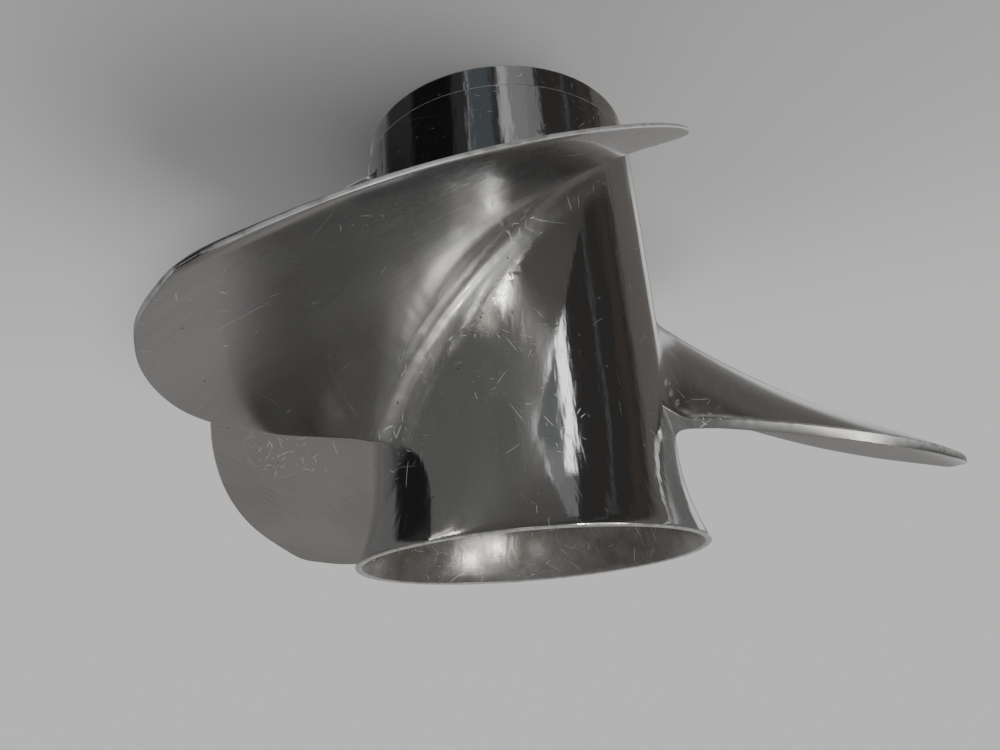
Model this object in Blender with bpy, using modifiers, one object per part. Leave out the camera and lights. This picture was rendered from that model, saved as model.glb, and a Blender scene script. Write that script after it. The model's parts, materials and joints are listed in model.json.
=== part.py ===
# Three-bladed stainless outboard propeller with its rubber cushion and spline sleeve.
# Barrel, inner hub, ribs and blades are one casting on the real object. They are separate
# solids here, so that the passages between them stay open when their collision is made.
#
# The shaft axis is Z and +Z points aft, towards the flared end. The propeller stands on
# its front rim at z = 0. It turns right-handed: seen from the aft end, clockwise drives
# the boat ahead. The camera of the photograph looks along +Y at blade 1.
import math

import bmesh
import bpy

# The barrel, the outer tube that the exhaust gas leaves through
HUB_LENGTH = 0.1880
BARREL_RADIUS = 0.0603
BARREL_WALL = 0.0042
COLLAR_LENGTH = 0.0100
COLLAR_STEP = 0.0014
FLARE_LENGTH = 0.0340
FLARE_RISE = 0.0071
FLARE_LIP_THICKNESS = 0.0026
RIM_CHAMFER = 0.0006

# The inner hub, which holds the cushion, and the ribs that carry it
INNER_HUB_RADIUS = 0.0350
INNER_HUB_WALL = 0.0065
INNER_HUB_FRONT = 0.0140
INNER_HUB_AFT = 0.1280
RIB_COUNT = 3
RIB_THICKNESS = 0.0080
RIB_SETBACK = 0.0060
RIB_TURN = math.radians(30)

# The gap that solids keep where the real ones are one metal or touch
FIT_GAP = 0.0003

# The pressed-in cushion and the sleeve that slides on the splined shaft
CUSHION_WALL = 0.0110
CUSHION_SETBACK = 0.0080
SLEEVE_WALL = 0.0036
SLEEVE_PROUD = 0.0030
SPLINE_TEETH = 15
SPLINE_DEPTH = 0.0013
SPLINE_SHARE = 0.45

# The blades
BLADE_COUNT = 3
BLADE_TURN = math.radians(-90)
TIP_RADIUS = 0.1937
BLADE_HEIGHT = 0.0710
RAKE = 0.0812
RAKE_CURVE = -0.0139
PITCH_ROOT = 0.399
PITCH_TIP = 0.354
PITCH_GAIN_ROOT = 0.0172
PITCH_GAIN_TIP = 0.0032
ROOT_THICKNESS = 0.0095
TIP_THICKNESS = 0.0030
LEADING_THICKNESS = 0.0010
TRAILING_THICKNESS = 0.0042
TIP_EDGE_THICKNESS = 0.0014
THINNING_SHARE = 0.55
CUP_DEPTH = 0.0012
CUP_SHARE = 0.14
ROOT_FILLET = 0.0075
ROOT_FILLET_HEIGHT = 0.0130
ROOT_SINK = 0.0020
TIP_SLACK = 0.002

# The outline of a blade as degrees round the shaft at shares of its height, from the
# hub to the tip: the leading edge is the forward one, the trailing edge the aft one
OUTLINE_SHARES = (0.0, 0.05, 0.12, 0.25, 0.45, 0.65, 0.80, 0.90, 0.96, 1.0)
LEADING_DEGREES = (-54.0, -56.0, -54.0, -40.5, -30.0, -17.5, -6.5, 1.8, 8.6, 16.3)
TRAILING_DEGREES = (52.3, 52.3, 50.0, 46.5, 41.5, 35.7, 30.1, 25.6, 21.95, 18.1)

# How finely the round shapes are cut
ROUND_STEPS = 72
FLARE_STEPS = 6
CHORD_STEPS = 20
FILLET_STEPS = 3
HEIGHT_STEPS = 15

MERGE = 0.00001


def clear_scene():
    for thing in list(bpy.data.objects):
        bpy.data.objects.remove(thing, do_unlink=True)


def steel_material():
    """Polished stainless steel, the whole casting."""
    material = bpy.data.materials.new("stainless_steel")
    material.use_nodes = True
    shader = material.node_tree.nodes["Principled BSDF"]
    shader.inputs["Base Color"].default_value = (0.42, 0.42, 0.43, 1.0)
    shader.inputs["Metallic"].default_value = 1.0
    shader.inputs["Roughness"].default_value = 0.2
    return material


def rubber_material():
    """Black moulded rubber, the cushion."""
    material = bpy.data.materials.new("black_rubber")
    material.use_nodes = True
    shader = material.node_tree.nodes["Principled BSDF"]
    shader.inputs["Base Color"].default_value = (0.02, 0.02, 0.02, 1.0)
    shader.inputs["Metallic"].default_value = 0.0
    shader.inputs["Roughness"].default_value = 0.7
    return material


def brass_material():
    """Dull brass, the spline sleeve."""
    material = bpy.data.materials.new("dull_brass")
    material.use_nodes = True
    shader = material.node_tree.nodes["Principled BSDF"]
    shader.inputs["Base Color"].default_value = (0.45, 0.33, 0.15, 1.0)
    shader.inputs["Metallic"].default_value = 1.0
    shader.inputs["Roughness"].default_value = 0.4
    return material


def new_object(name, data, collection=None):
    thing = bpy.data.objects.new(name, data)
    target = collection or bpy.context.scene.collection
    target.objects.link(thing)
    return thing


def turned_object(name, profile, steps):
    """A ring or tube: a closed profile of (radius, height) turned about Z."""
    mesh = bpy.data.meshes.new(name)
    shape = bmesh.new()
    corners = [shape.verts.new((radius, 0.0, height)) for radius, height in profile]
    for first, second in zip(corners, corners[1:] + corners[:1]):
        shape.edges.new((first, second))
    shape.to_mesh(mesh)
    shape.free()
    thing = new_object(name, mesh)
    turn = thing.modifiers.new("Turn", "SCREW")
    turn.axis = "Z"
    turn.angle = 2 * math.pi
    turn.steps = steps
    turn.render_steps = steps
    turn.use_merge_vertices = True
    turn.merge_threshold = MERGE
    return thing


def flare_arc(start_radius, start_height, rise, length):
    """Points of a round flare that leaves the barrel without a kink, front to aft."""
    arc_radius = (length ** 2 + rise ** 2) / (2 * rise)
    whole_turn = math.asin(length / arc_radius)
    points = []
    for step in range(1, FLARE_STEPS + 1):
        turn = whole_turn * step / FLARE_STEPS
        radius = start_radius + arc_radius * (1 - math.cos(turn))
        height = start_height + arc_radius * math.sin(turn)
        points.append((radius, height))
    return points


def barrel_profile():
    """The barrel's cut section, down the outside and back up the inside."""
    flare_start = HUB_LENGTH - FLARE_LENGTH
    collar_radius = BARREL_RADIUS - COLLAR_STEP
    bore_radius = BARREL_RADIUS - BARREL_WALL
    lip_radius = BARREL_RADIUS + FLARE_RISE
    outer = flare_arc(BARREL_RADIUS, flare_start, FLARE_RISE, FLARE_LENGTH)
    inner_rise = lip_radius - FLARE_LIP_THICKNESS - bore_radius
    inner = flare_arc(bore_radius, flare_start, inner_rise, FLARE_LENGTH)
    profile = list(reversed(outer))
    profile.append((BARREL_RADIUS, flare_start))
    profile.append((BARREL_RADIUS, COLLAR_LENGTH + COLLAR_STEP))
    profile.append((collar_radius, COLLAR_LENGTH))
    profile.append((collar_radius, RIM_CHAMFER))
    profile.append((collar_radius - RIM_CHAMFER, 0.0))
    profile.append((bore_radius + RIM_CHAMFER, 0.0))
    profile.append((bore_radius, RIM_CHAMFER))
    profile.append((bore_radius, flare_start))
    profile.extend(inner)
    return profile


def tube_profile(outer_radius, inner_radius, front, aft, chamfer):
    """The cut section of a plain tube with broken edges, down the outside and up the inside."""
    return [
        (outer_radius - chamfer, aft),
        (outer_radius, aft - chamfer),
        (outer_radius, front + chamfer),
        (outer_radius - chamfer, front),
        (inner_radius + chamfer, front),
        (inner_radius, front + chamfer),
        (inner_radius, aft - chamfer),
        (inner_radius + chamfer, aft),
    ]


def exhaust_barrel(material):
    """The outer tube with its stepped collar in front and its flare aft."""
    barrel = turned_object("exhaust_barrel", barrel_profile(), ROUND_STEPS)
    barrel.data.materials.append(material)
    return barrel


def inner_hub(material):
    """The tube that holds the cushion."""
    bore = INNER_HUB_RADIUS - INNER_HUB_WALL
    profile = tube_profile(INNER_HUB_RADIUS, bore, INNER_HUB_FRONT, INNER_HUB_AFT, 0.001)
    hub = turned_object("inner_hub", profile, ROUND_STEPS)
    hub.data.materials.append(material)
    return hub


def rib(index, material):
    """One wall that carries the inner hub inside the barrel."""
    inside = INNER_HUB_RADIUS + FIT_GAP
    bore_reach = BARREL_RADIUS - BARREL_WALL - FIT_GAP
    outside = math.sqrt(bore_reach ** 2 - (RIB_THICKNESS / 2) ** 2)
    front = INNER_HUB_FRONT + RIB_SETBACK
    aft = INNER_HUB_AFT - RIB_SETBACK
    middle = (inside + outside) / 2
    angle = RIB_TURN + index * 2 * math.pi / RIB_COUNT
    bpy.ops.mesh.primitive_cube_add(
        size=1,
        location=(middle * math.cos(angle), middle * math.sin(angle), (front + aft) / 2),
        rotation=(0, 0, angle),
    )
    wall = bpy.context.object
    wall.name = f"rib_{index + 1}"
    wall.scale = (outside - inside, RIB_THICKNESS, aft - front)
    wall.data.materials.append(material)
    return wall


def smooth_between(shares, values, share):
    """A smooth curve through a short table, with the slope at each point of its neighbours."""
    last = len(shares) - 1
    slopes = []
    for place in range(last + 1):
        before = max(place - 1, 0)
        after = min(place + 1, last)
        slopes.append((values[after] - values[before]) / (shares[after] - shares[before]))
    place = 0
    while place < last - 1 and share > shares[place + 1]:
        place += 1
    width = shares[place + 1] - shares[place]
    way = min(max((share - shares[place]) / width, 0.0), 1.0)
    start = values[place] * (1 + 2 * way) * (1 - way) ** 2
    end = values[place + 1] * way ** 2 * (3 - 2 * way)
    start_slope = slopes[place] * width * way * (1 - way) ** 2
    end_slope = slopes[place + 1] * width * way ** 2 * (way - 1)
    return start + end + start_slope + end_slope


def blade_share(radius):
    """How far up the blade a radius lies: 0 at the barrel and 1 at the tip."""
    return (radius - BARREL_RADIUS) / (TIP_RADIUS - BARREL_RADIUS)


def tip_root(share):
    """Falls to nearly nothing at the tip as a circle does, which keeps the tip round."""
    return math.sqrt(max(1 + TIP_SLACK - share, 0.0))


def blade_edges(share):
    """Angles of the leading and the trailing edge at a share of the blade's height."""
    pairs = list(zip(OUTLINE_SHARES, LEADING_DEGREES, TRAILING_DEGREES))
    middles = [(leading + trailing) / 2 for _, leading, trailing in pairs]
    spreads = [(trailing - leading) / 2 / tip_root(place) for place, leading, trailing in pairs]
    middle = smooth_between(OUTLINE_SHARES, middles, share)
    spread = smooth_between(OUTLINE_SHARES, spreads, share) * tip_root(share)
    return math.radians(middle - spread), math.radians(middle + spread)


def mean_height(radius, angle):
    """Height of the blade's middle surface: a raked screw whose pitch grows aft."""
    share = blade_share(radius)
    rake = RAKE * share + RAKE_CURVE * share ** 2
    pitch = PITCH_ROOT + (PITCH_TIP - PITCH_ROOT) * share
    gain = PITCH_GAIN_ROOT + (PITCH_GAIN_TIP - PITCH_GAIN_ROOT) * share
    return BLADE_HEIGHT + rake + pitch * angle / (2 * math.pi) + gain * angle ** 2


def fillet_growth(radius):
    """How much each face stands out near the barrel. It goes on growing inside the wall."""
    left = 1 - (radius - BARREL_RADIUS) / ROOT_FILLET_HEIGHT
    return ROOT_FILLET * max(left, 0.0) ** 2


def blade_point(radius, way, side):
    """A point on a blade: way runs from leading (0) to trailing edge (1), side is the face."""
    share = min(max(blade_share(radius), 0.0), 1.0)
    leading, trailing = blade_edges(share)
    growth = fillet_growth(radius)
    slope_pitch = PITCH_ROOT + (PITCH_TIP - PITCH_ROOT) * share
    slope = math.atan2(slope_pitch, 2 * math.pi * radius)
    extra_turn = growth * math.cos(slope) / radius
    angle = leading - extra_turn + (trailing - leading + 2 * extra_turn) * way
    thick = ROOT_THICKNESS + (TIP_THICKNESS - ROOT_THICKNESS) * share
    thinning = max(share - THINNING_SHARE, 0.0) / (1 - THINNING_SHARE)
    tail = TRAILING_THICKNESS + (TIP_EDGE_THICKNESS - TRAILING_THICKNESS) * thinning ** 2
    edge = LEADING_THICKNESS + (tail - LEADING_THICKNESS) * way ** 2
    bulge = math.sin(math.pi * way) ** 0.7
    half = (edge + max(thick - edge, 0.0) * bulge) / 2
    half += growth * min(1.0, 0.35 + 3 * min(way, 1 - way))
    cup_way = max(0.0, (way - 1 + CUP_SHARE) / CUP_SHARE)
    cup = CUP_DEPTH * cup_way ** 2 * min(1.0, 5 * share, 5 * (1 - share))
    offset = side * half + cup
    turned = angle - offset * math.sin(slope) / radius
    height = mean_height(radius, angle) + offset * math.cos(slope)
    return (radius * math.cos(turned), radius * math.sin(turned), height)


def blade_radii():
    """Radii of the blade's sections: close together in the fillet and at the tip."""
    radii = [BARREL_RADIUS - ROOT_SINK, BARREL_RADIUS]
    for step in range(1, FILLET_STEPS + 1):
        radii.append(BARREL_RADIUS + ROOT_FILLET_HEIGHT * step / FILLET_STEPS)
    start = radii[-1]
    for step in range(1, HEIGHT_STEPS + 1):
        radii.append(start + (TIP_RADIUS - start) * math.sin(math.pi / 2 * step / HEIGHT_STEPS))
    return radii


def blade_loft(name):
    """The closed loft through a blade's sections, with its foot inside the barrel's wall."""
    ways = [(1 - math.cos(math.pi * step / CHORD_STEPS)) / 2 for step in range(CHORD_STEPS + 1)]
    shape = bmesh.new()
    rings = []
    for radius in blade_radii():
        aft_face = [shape.verts.new(blade_point(radius, way, 1)) for way in ways]
        front_face = [shape.verts.new(blade_point(radius, way, -1)) for way in ways]
        rings.append((aft_face, front_face))
    for lower, upper in zip(rings, rings[1:]):
        loop_low = lower[0] + list(reversed(lower[1]))
        loop_high = upper[0] + list(reversed(upper[1]))
        for place in range(len(loop_low)):
            after = (place + 1) % len(loop_low)
            shape.faces.new((loop_low[place], loop_low[after], loop_high[after], loop_high[place]))
    for aft_face, front_face in (rings[0], rings[-1]):
        for place in range(CHORD_STEPS):
            corners = (aft_face[place], aft_face[place + 1], front_face[place + 1], front_face[place])
            shape.faces.new(corners)
    bmesh.ops.recalc_face_normals(shape, faces=shape.faces)
    mesh = bpy.data.meshes.new(name)
    shape.to_mesh(mesh)
    shape.free()
    return new_object(name, mesh)


def barrel_clearance():
    """A cutter as round as the barrel, which trims the blades' feet to its wall."""
    bpy.ops.mesh.primitive_cylinder_add(
        vertices=ROUND_STEPS,
        radius=BARREL_RADIUS + FIT_GAP,
        depth=2 * HUB_LENGTH,
        location=(0, 0, HUB_LENGTH / 2),
    )
    cutter = bpy.context.object
    cutter.name = "barrel_clearance"
    cutter.display_type = "WIRE"
    cutter.hide_render = True
    cutters = bpy.data.collections.new("construction")
    bpy.context.scene.collection.children.link(cutters)
    for owner in list(cutter.users_collection):
        owner.objects.unlink(cutter)
    cutters.objects.link(cutter)
    return cutter


def blade(index, cutter, material):
    """One blade with its cast fillet, trimmed to stand on the barrel."""
    wing = blade_loft(f"blade_{index + 1}")
    wing.rotation_euler = (0, 0, BLADE_TURN + index * 2 * math.pi / BLADE_COUNT)
    trim = wing.modifiers.new("Trim the foot", "BOOLEAN")
    trim.operation = "DIFFERENCE"
    trim.solver = "EXACT"
    trim.object = cutter
    wing.data.materials.append(material)
    return wing


def cushion_front():
    return INNER_HUB_FRONT + CUSHION_SETBACK


def cushion_aft():
    return INNER_HUB_AFT - CUSHION_SETBACK


def cushion_outer_radius():
    return INNER_HUB_RADIUS - INNER_HUB_WALL - FIT_GAP


def rubber_cushion(material):
    """The rubber ring pressed into the inner hub, which slips before the gears break."""
    outer = cushion_outer_radius()
    profile = tube_profile(outer, outer - CUSHION_WALL, cushion_front(), cushion_aft(), 0.0012)
    cushion = turned_object("rubber_cushion", profile, ROUND_STEPS)
    cushion.data.materials.append(material)
    return cushion


def ring_points(radius, count, turn=0.0):
    step = 2 * math.pi / count
    return [
        (radius * math.cos(turn + step * place), radius * math.sin(turn + step * place))
        for place in range(count)
    ]


def spline_points(root_radius):
    """The bore's outline: teeth that point inward, each with a flat crest."""
    crest_radius = root_radius - SPLINE_DEPTH
    step = 2 * math.pi / SPLINE_TEETH
    half_tooth = step * SPLINE_SHARE / 2
    points = []
    for tooth in range(SPLINE_TEETH):
        middle = step * tooth
        for radius, angle in (
            (root_radius, middle - half_tooth * 1.2),
            (crest_radius, middle - half_tooth * 0.8),
            (crest_radius, middle + half_tooth * 0.8),
            (root_radius, middle + half_tooth * 1.2),
        ):
            points.append((radius * math.cos(angle), radius * math.sin(angle)))
    return points


def add_outline(curve, points):
    line = curve.splines.new("POLY")
    line.points.add(len(points) - 1)
    for place, (across, along) in enumerate(points):
        line.points[place].co = (across, along, 0.0, 1.0)
    line.use_cyclic_u = True


def spline_sleeve(material):
    """The sleeve inside the cushion, with the splined bore that slides on the shaft."""
    outer = cushion_outer_radius() - CUSHION_WALL - FIT_GAP
    front = cushion_front() - SLEEVE_PROUD
    aft = cushion_aft() + SLEEVE_PROUD
    curve = bpy.data.curves.new("spline_sleeve", "CURVE")
    curve.dimensions = "2D"
    curve.fill_mode = "BOTH"
    curve.extrude = (aft - front) / 2
    add_outline(curve, ring_points(outer, ROUND_STEPS))
    add_outline(curve, spline_points(outer - SLEEVE_WALL))
    sleeve = new_object("spline_sleeve", curve)
    sleeve.location = (0, 0, (front + aft) / 2)
    sleeve.data.materials.append(material)
    return sleeve


def build():
    clear_scene()
    steel = steel_material()
    exhaust_barrel(steel)
    inner_hub(steel)
    for index in range(RIB_COUNT):
        rib(index, steel)
    cutter = barrel_clearance()
    for index in range(BLADE_COUNT):
        blade(index, cutter, steel)
    rubber_cushion(rubber_material())
    spline_sleeve(brass_material())


build()
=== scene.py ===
# %% [markdown]
# # A polished outboard propeller
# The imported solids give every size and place. This script keeps the spline sleeve and puts
# finer pieces in the place of the plain casting and cushion. The casting is one piece on the
# real object: a barrel that the exhaust leaves through, an inner hub on ribs, and the blades.
# It stands on its front rim with the shaft axis along Z, and +Z points aft.

# %% Load the frame
import json
import math

import bpy
import numpy as np
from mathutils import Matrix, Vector

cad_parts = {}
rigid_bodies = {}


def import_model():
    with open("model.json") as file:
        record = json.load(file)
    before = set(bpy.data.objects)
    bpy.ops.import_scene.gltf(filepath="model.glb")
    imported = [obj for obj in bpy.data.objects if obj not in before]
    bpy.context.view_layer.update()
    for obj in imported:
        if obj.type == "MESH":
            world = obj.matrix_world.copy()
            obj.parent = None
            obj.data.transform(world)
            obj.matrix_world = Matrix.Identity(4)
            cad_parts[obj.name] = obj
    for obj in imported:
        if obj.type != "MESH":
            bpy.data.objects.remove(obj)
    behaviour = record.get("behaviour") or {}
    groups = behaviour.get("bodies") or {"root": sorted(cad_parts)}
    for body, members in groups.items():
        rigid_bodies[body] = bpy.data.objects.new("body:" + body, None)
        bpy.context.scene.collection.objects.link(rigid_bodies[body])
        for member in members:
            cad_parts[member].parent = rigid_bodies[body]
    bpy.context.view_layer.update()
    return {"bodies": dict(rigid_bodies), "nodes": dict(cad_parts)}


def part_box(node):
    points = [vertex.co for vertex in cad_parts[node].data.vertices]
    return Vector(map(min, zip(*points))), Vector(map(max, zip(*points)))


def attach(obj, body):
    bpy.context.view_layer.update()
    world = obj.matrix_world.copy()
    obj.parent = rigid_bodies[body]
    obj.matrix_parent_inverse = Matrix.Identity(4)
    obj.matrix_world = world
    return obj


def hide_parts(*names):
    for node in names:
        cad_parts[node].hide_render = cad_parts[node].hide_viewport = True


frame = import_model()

BODY = next(iter(frame["bodies"]))

# %% [markdown]
# The camera comes first, so that every later piece can be looked at as the photograph shows
# it. It looks at the first blade from a little above the open end. It is rolled by half a
# turn, because the photograph has the open end at the bottom.

# %% Camera
CAMERA_PLACE = (0.0, -0.30553, 0.2305)
CAMERA_TURN = (-68.484, -4.349, 176.968)
CAMERA_LENS = 28.08
CAMERA_SENSOR = 36
CAMERA_CLIP = (0.01, 100)

camera_data = bpy.data.cameras.new("camera")
camera_data.lens = CAMERA_LENS
camera_data.sensor_width = CAMERA_SENSOR
camera_data.clip_start, camera_data.clip_end = CAMERA_CLIP
camera = bpy.data.objects.new("camera", camera_data)
bpy.context.scene.collection.objects.link(camera)
camera.location = CAMERA_PLACE
camera.rotation_euler = [math.radians(turn) for turn in CAMERA_TURN]
bpy.context.scene.camera = camera
print("camera at", CAMERA_PLACE)

# %% [markdown]
# These helpers keep the operators honest. An operator acts on all that is selected, and the
# loaded nodes start out selected, so each new piece begins with an empty selection. What
# repeats round the shaft is modelled once and copied, and the turns are applied to the meshes.

# %% Helpers
MERGE_DISTANCE = 0.000002
SMOOTH_ANGLE = math.radians(38)


def nothing_selected():
    if bpy.context.object and bpy.context.object.mode != "OBJECT":
        bpy.ops.object.mode_set(mode="OBJECT")
    bpy.ops.object.select_all(action="DESELECT")


def only(piece):
    """Makes one piece the selected and active one."""
    nothing_selected()
    piece.select_set(True)
    bpy.context.view_layer.objects.active = piece


def named(name):
    """Names the object that an operator has just added."""
    piece = bpy.context.object
    piece.name = name
    piece.data.name = name
    return piece


def edit_all():
    """Opens the active piece in edit mode with all of it selected."""
    bpy.ops.object.mode_set(mode="EDIT")
    bpy.ops.mesh.select_all(action="SELECT")


def clean(piece, distance=MERGE_DISTANCE):
    """Merges doubled points and turns every face outwards."""
    only(piece)
    edit_all()
    bpy.ops.mesh.remove_doubles(threshold=distance)
    bpy.ops.mesh.normals_make_consistent(inside=False)
    bpy.ops.object.mode_set(mode="OBJECT")


def apply_modifiers(piece):
    only(piece)
    for modifier in list(piece.modifiers):
        bpy.ops.object.modifier_apply(modifier=modifier.name)


def fuse(base, pieces):
    """Joins closed pieces into the base as one solid and removes them."""
    for piece in pieces:
        join = base.modifiers.new("join " + piece.name, "BOOLEAN")
        join.operation = "UNION"
        join.solver = "EXACT"
        join.object = piece
    apply_modifiers(base)
    for piece in pieces:
        bpy.data.objects.remove(piece, do_unlink=True)


def spread_round(piece, count, first_turn):
    """Copies a piece round the shaft, each copy with its own mesh, and applies the turns."""
    base = piece.name.removesuffix("_1")
    pieces = [piece]
    for index in range(1, count):
        only(piece)
        bpy.ops.object.duplicate()
        pieces.append(named(f"{base}_{index + 1}"))
    for index, copy in enumerate(pieces):
        copy.rotation_euler = (0, 0, first_turn + index * 2 * math.pi / count)
        only(copy)
        bpy.ops.object.transform_apply(location=False, rotation=True, scale=False)
    return pieces


def smooth(piece):
    """Shades a piece smooth, apart from edges sharper than the smooth angle."""
    only(piece)
    bpy.ops.object.shade_smooth_by_angle(angle=SMOOTH_ANGLE)


def triangles(piece):
    piece.data.calc_loop_triangles()
    return len(piece.data.loop_triangles)


nothing_selected()
print("helpers ready")

# %% [markdown]
# The barrel is a turned shape. One way is a Screw modifier on a bent line. Here the profile
# is a ring of points that starts as a circle primitive, each point is moved to its place on
# the cut wall, and the spin operator turns that ring about the shaft axis. The straight part
# gets many short rows, because the blades are joined there and polished metal shows every
# long thin face.

# %% Barrel sizes
HUB_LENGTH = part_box("exhaust_barrel")[1][2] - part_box("exhaust_barrel")[0][2]
BARREL_RADIUS = 0.0603
BARREL_WALL = 0.0042
COLLAR_LENGTH = 0.0100
COLLAR_STEP = 0.0014
FLARE_LENGTH = 0.0340
FLARE_RISE = 0.0071
FLARE_LIP_THICKNESS = 0.0026
LIP_ROUNDING = 0.0008
RIM_ROUNDING = 0.0006
SHARP_STEP = 0.0004
STEP_ROUNDING = 0.0003
BARREL_ROWS = 46
BORE_ROWS = 8
FLARE_ROWS = 16
BARREL_SIDES = 288


def flare_arc(start_radius, start_height, rise, length, rows):
    """Points of a round flare that leaves the barrel without a kink, front to aft."""
    arc_radius = (length ** 2 + rise ** 2) / (2 * rise)
    whole_turn = math.asin(length / arc_radius)
    points = []
    for row in range(rows + 1):
        turn = whole_turn * row / rows
        radius = start_radius + arc_radius * (1 - math.cos(turn))
        height = start_height + arc_radius * math.sin(turn)
        points.append((radius, height))
    return points


def corner_arc(centre, radius, start, end, steps=4):
    """Points of a small rounded corner, from one angle in degrees to another."""
    points = []
    for step in range(steps + 1):
        angle = math.radians(start + (end - start) * step / steps)
        across = centre[0] + radius * math.cos(angle)
        up = centre[1] + radius * math.sin(angle)
        points.append((across, up))
    return points


def turned(name, profile, sides):
    """Spins a closed profile of (radius, height) about the shaft axis."""
    nothing_selected()
    bpy.ops.mesh.primitive_circle_add(vertices=len(profile), radius=BARREL_RADIUS)
    piece = named(name)
    for corner, (radius, height) in zip(piece.data.vertices, profile):
        corner.co = (radius, 0.0, height)
    edit_all()
    bpy.ops.mesh.spin(steps=sides, angle=2 * math.pi, center=(0, 0, 0), axis=(0, 0, 1))
    bpy.ops.object.mode_set(mode="OBJECT")
    clean(piece)
    return piece


# %% [markdown]
# This is the cut wall of the barrel, drawn once round: down the outside from the flare to the
# stepped collar, over the front rim, up the bore and over the lip. It could be one long
# table, but each part is worked out from a named size, so a change of one size moves the
# rest with it. Extra rows stand close to each sharp step, or its shading would smear.

# %% Barrel
def barrel_profile():
    flare_start = HUB_LENGTH - FLARE_LENGTH
    collar_radius = BARREL_RADIUS - COLLAR_STEP
    bore_radius = BARREL_RADIUS - BARREL_WALL
    lip_radius = BARREL_RADIUS + FLARE_RISE
    inner_rise = lip_radius - FLARE_LIP_THICKNESS - bore_radius
    shoulder = COLLAR_LENGTH + COLLAR_STEP
    outer = flare_arc(BARREL_RADIUS, flare_start, FLARE_RISE, FLARE_LENGTH, FLARE_ROWS)
    inner = flare_arc(bore_radius, flare_start, inner_rise, FLARE_LENGTH, FLARE_ROWS)
    profile = [point for point in reversed(outer) if point[1] < HUB_LENGTH - LIP_ROUNDING]
    for row in range(1, BARREL_ROWS):
        height = flare_start + (shoulder - flare_start) * row / BARREL_ROWS
        profile.append((BARREL_RADIUS, height))
    profile.append((BARREL_RADIUS, shoulder + SHARP_STEP))
    profile.append((BARREL_RADIUS, shoulder))
    profile.append((BARREL_RADIUS - STEP_ROUNDING, shoulder - 2 * STEP_ROUNDING))
    profile.append((collar_radius, COLLAR_LENGTH))
    profile.append((collar_radius, COLLAR_LENGTH / 2))
    profile.append((collar_radius, RIM_ROUNDING + SHARP_STEP))
    rim = (collar_radius - RIM_ROUNDING, RIM_ROUNDING)
    profile.extend(corner_arc(rim, RIM_ROUNDING, 0, -90))
    bore_rim = (bore_radius + RIM_ROUNDING, RIM_ROUNDING)
    profile.extend(corner_arc(bore_rim, RIM_ROUNDING, -90, -180))
    for row in range(1, BORE_ROWS):
        profile.append((bore_radius, flare_start * row / BORE_ROWS))
    profile.extend(point for point in inner if point[1] < HUB_LENGTH - LIP_ROUNDING)
    inner_lip = (lip_radius - FLARE_LIP_THICKNESS + LIP_ROUNDING, HUB_LENGTH - LIP_ROUNDING)
    profile.extend(corner_arc(inner_lip, LIP_ROUNDING, 180, 90))
    outer_lip = (lip_radius - LIP_ROUNDING, HUB_LENGTH - LIP_ROUNDING)
    profile.extend(corner_arc(outer_lip, LIP_ROUNDING, 90, 0))
    return profile


casting = turned("casting", barrel_profile(), BARREL_SIDES)
print("barrel:", triangles(casting), "triangles")

# %% [markdown]
# The inner hub is a tube that the rubber is pressed into. Ribs carry it inside the barrel,
# and a cast rib grows wider where it meets a wall. So the rib is a grid primitive one cell
# wide, whose points are moved out near both ends, then extruded along the shaft and copied.

# %% Inner hub and ribs
INNER_HUB_RADIUS = 0.0350
INNER_HUB_WALL = 0.0065
INNER_HUB_FRONT = 0.0140
INNER_HUB_AFT = 0.1280
INNER_HUB_ROUNDING = 0.0016
RIB_COUNT = 3
RIB_THICKNESS = 0.0080
RIB_SETBACK = 0.0060
RIB_TURN = math.radians(30)
RIB_FILLET = 0.0040
RIB_CUTS = 23


def tube_profile(outer, inner, front, aft, rounding):
    """The cut wall of a tube with rounded edges."""
    profile = corner_arc((outer - rounding, aft - rounding), rounding, 90, 0)
    profile += corner_arc((outer - rounding, front + rounding), rounding, 0, -90)
    profile += corner_arc((inner + rounding, front + rounding), rounding, -90, -180)
    profile += corner_arc((inner + rounding, aft - rounding), rounding, 180, 90)
    return profile


def rib_flare(distance):
    """How far a rib's side stands out at this distance from the wall that it meets."""
    left = max(RIB_FILLET - max(distance, 0.0), 0.0)
    return RIB_FILLET - math.sqrt(RIB_FILLET ** 2 - left ** 2)


def rib():
    """One rib, on the X axis. The grid primitive runs from -0.5 to 0.5."""
    inside = INNER_HUB_RADIUS - INNER_HUB_WALL / 2
    outside = BARREL_RADIUS - BARREL_WALL / 2
    front = INNER_HUB_FRONT + RIB_SETBACK
    aft = INNER_HUB_AFT - RIB_SETBACK
    nothing_selected()
    bpy.ops.mesh.primitive_grid_add(x_subdivisions=RIB_CUTS, y_subdivisions=1, size=1)
    piece = named("rib_1")
    for corner in piece.data.vertices:
        along = inside + (outside - inside) * (corner.co.x + 0.5)
        from_hub = along - INNER_HUB_RADIUS
        from_barrel = BARREL_RADIUS - BARREL_WALL - along
        half = RIB_THICKNESS / 2 + rib_flare(from_hub) + rib_flare(from_barrel)
        corner.co = (along, math.copysign(half, corner.co.y), front)
    edit_all()
    bpy.ops.mesh.extrude_region_move(TRANSFORM_OT_translate={"value": (0, 0, aft - front)})
    bpy.ops.object.mode_set(mode="OBJECT")
    clean(piece)
    return piece


inner_bore = INNER_HUB_RADIUS - INNER_HUB_WALL
inner_profile = tube_profile(
    INNER_HUB_RADIUS, inner_bore, INNER_HUB_FRONT, INNER_HUB_AFT, INNER_HUB_ROUNDING
)
inner_hub = turned("inner_hub", inner_profile, BARREL_SIDES // 2)
ribs = spread_round(rib(), RIB_COUNT, RIB_TURN)
print("inner hub and", len(ribs), "ribs")

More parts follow.
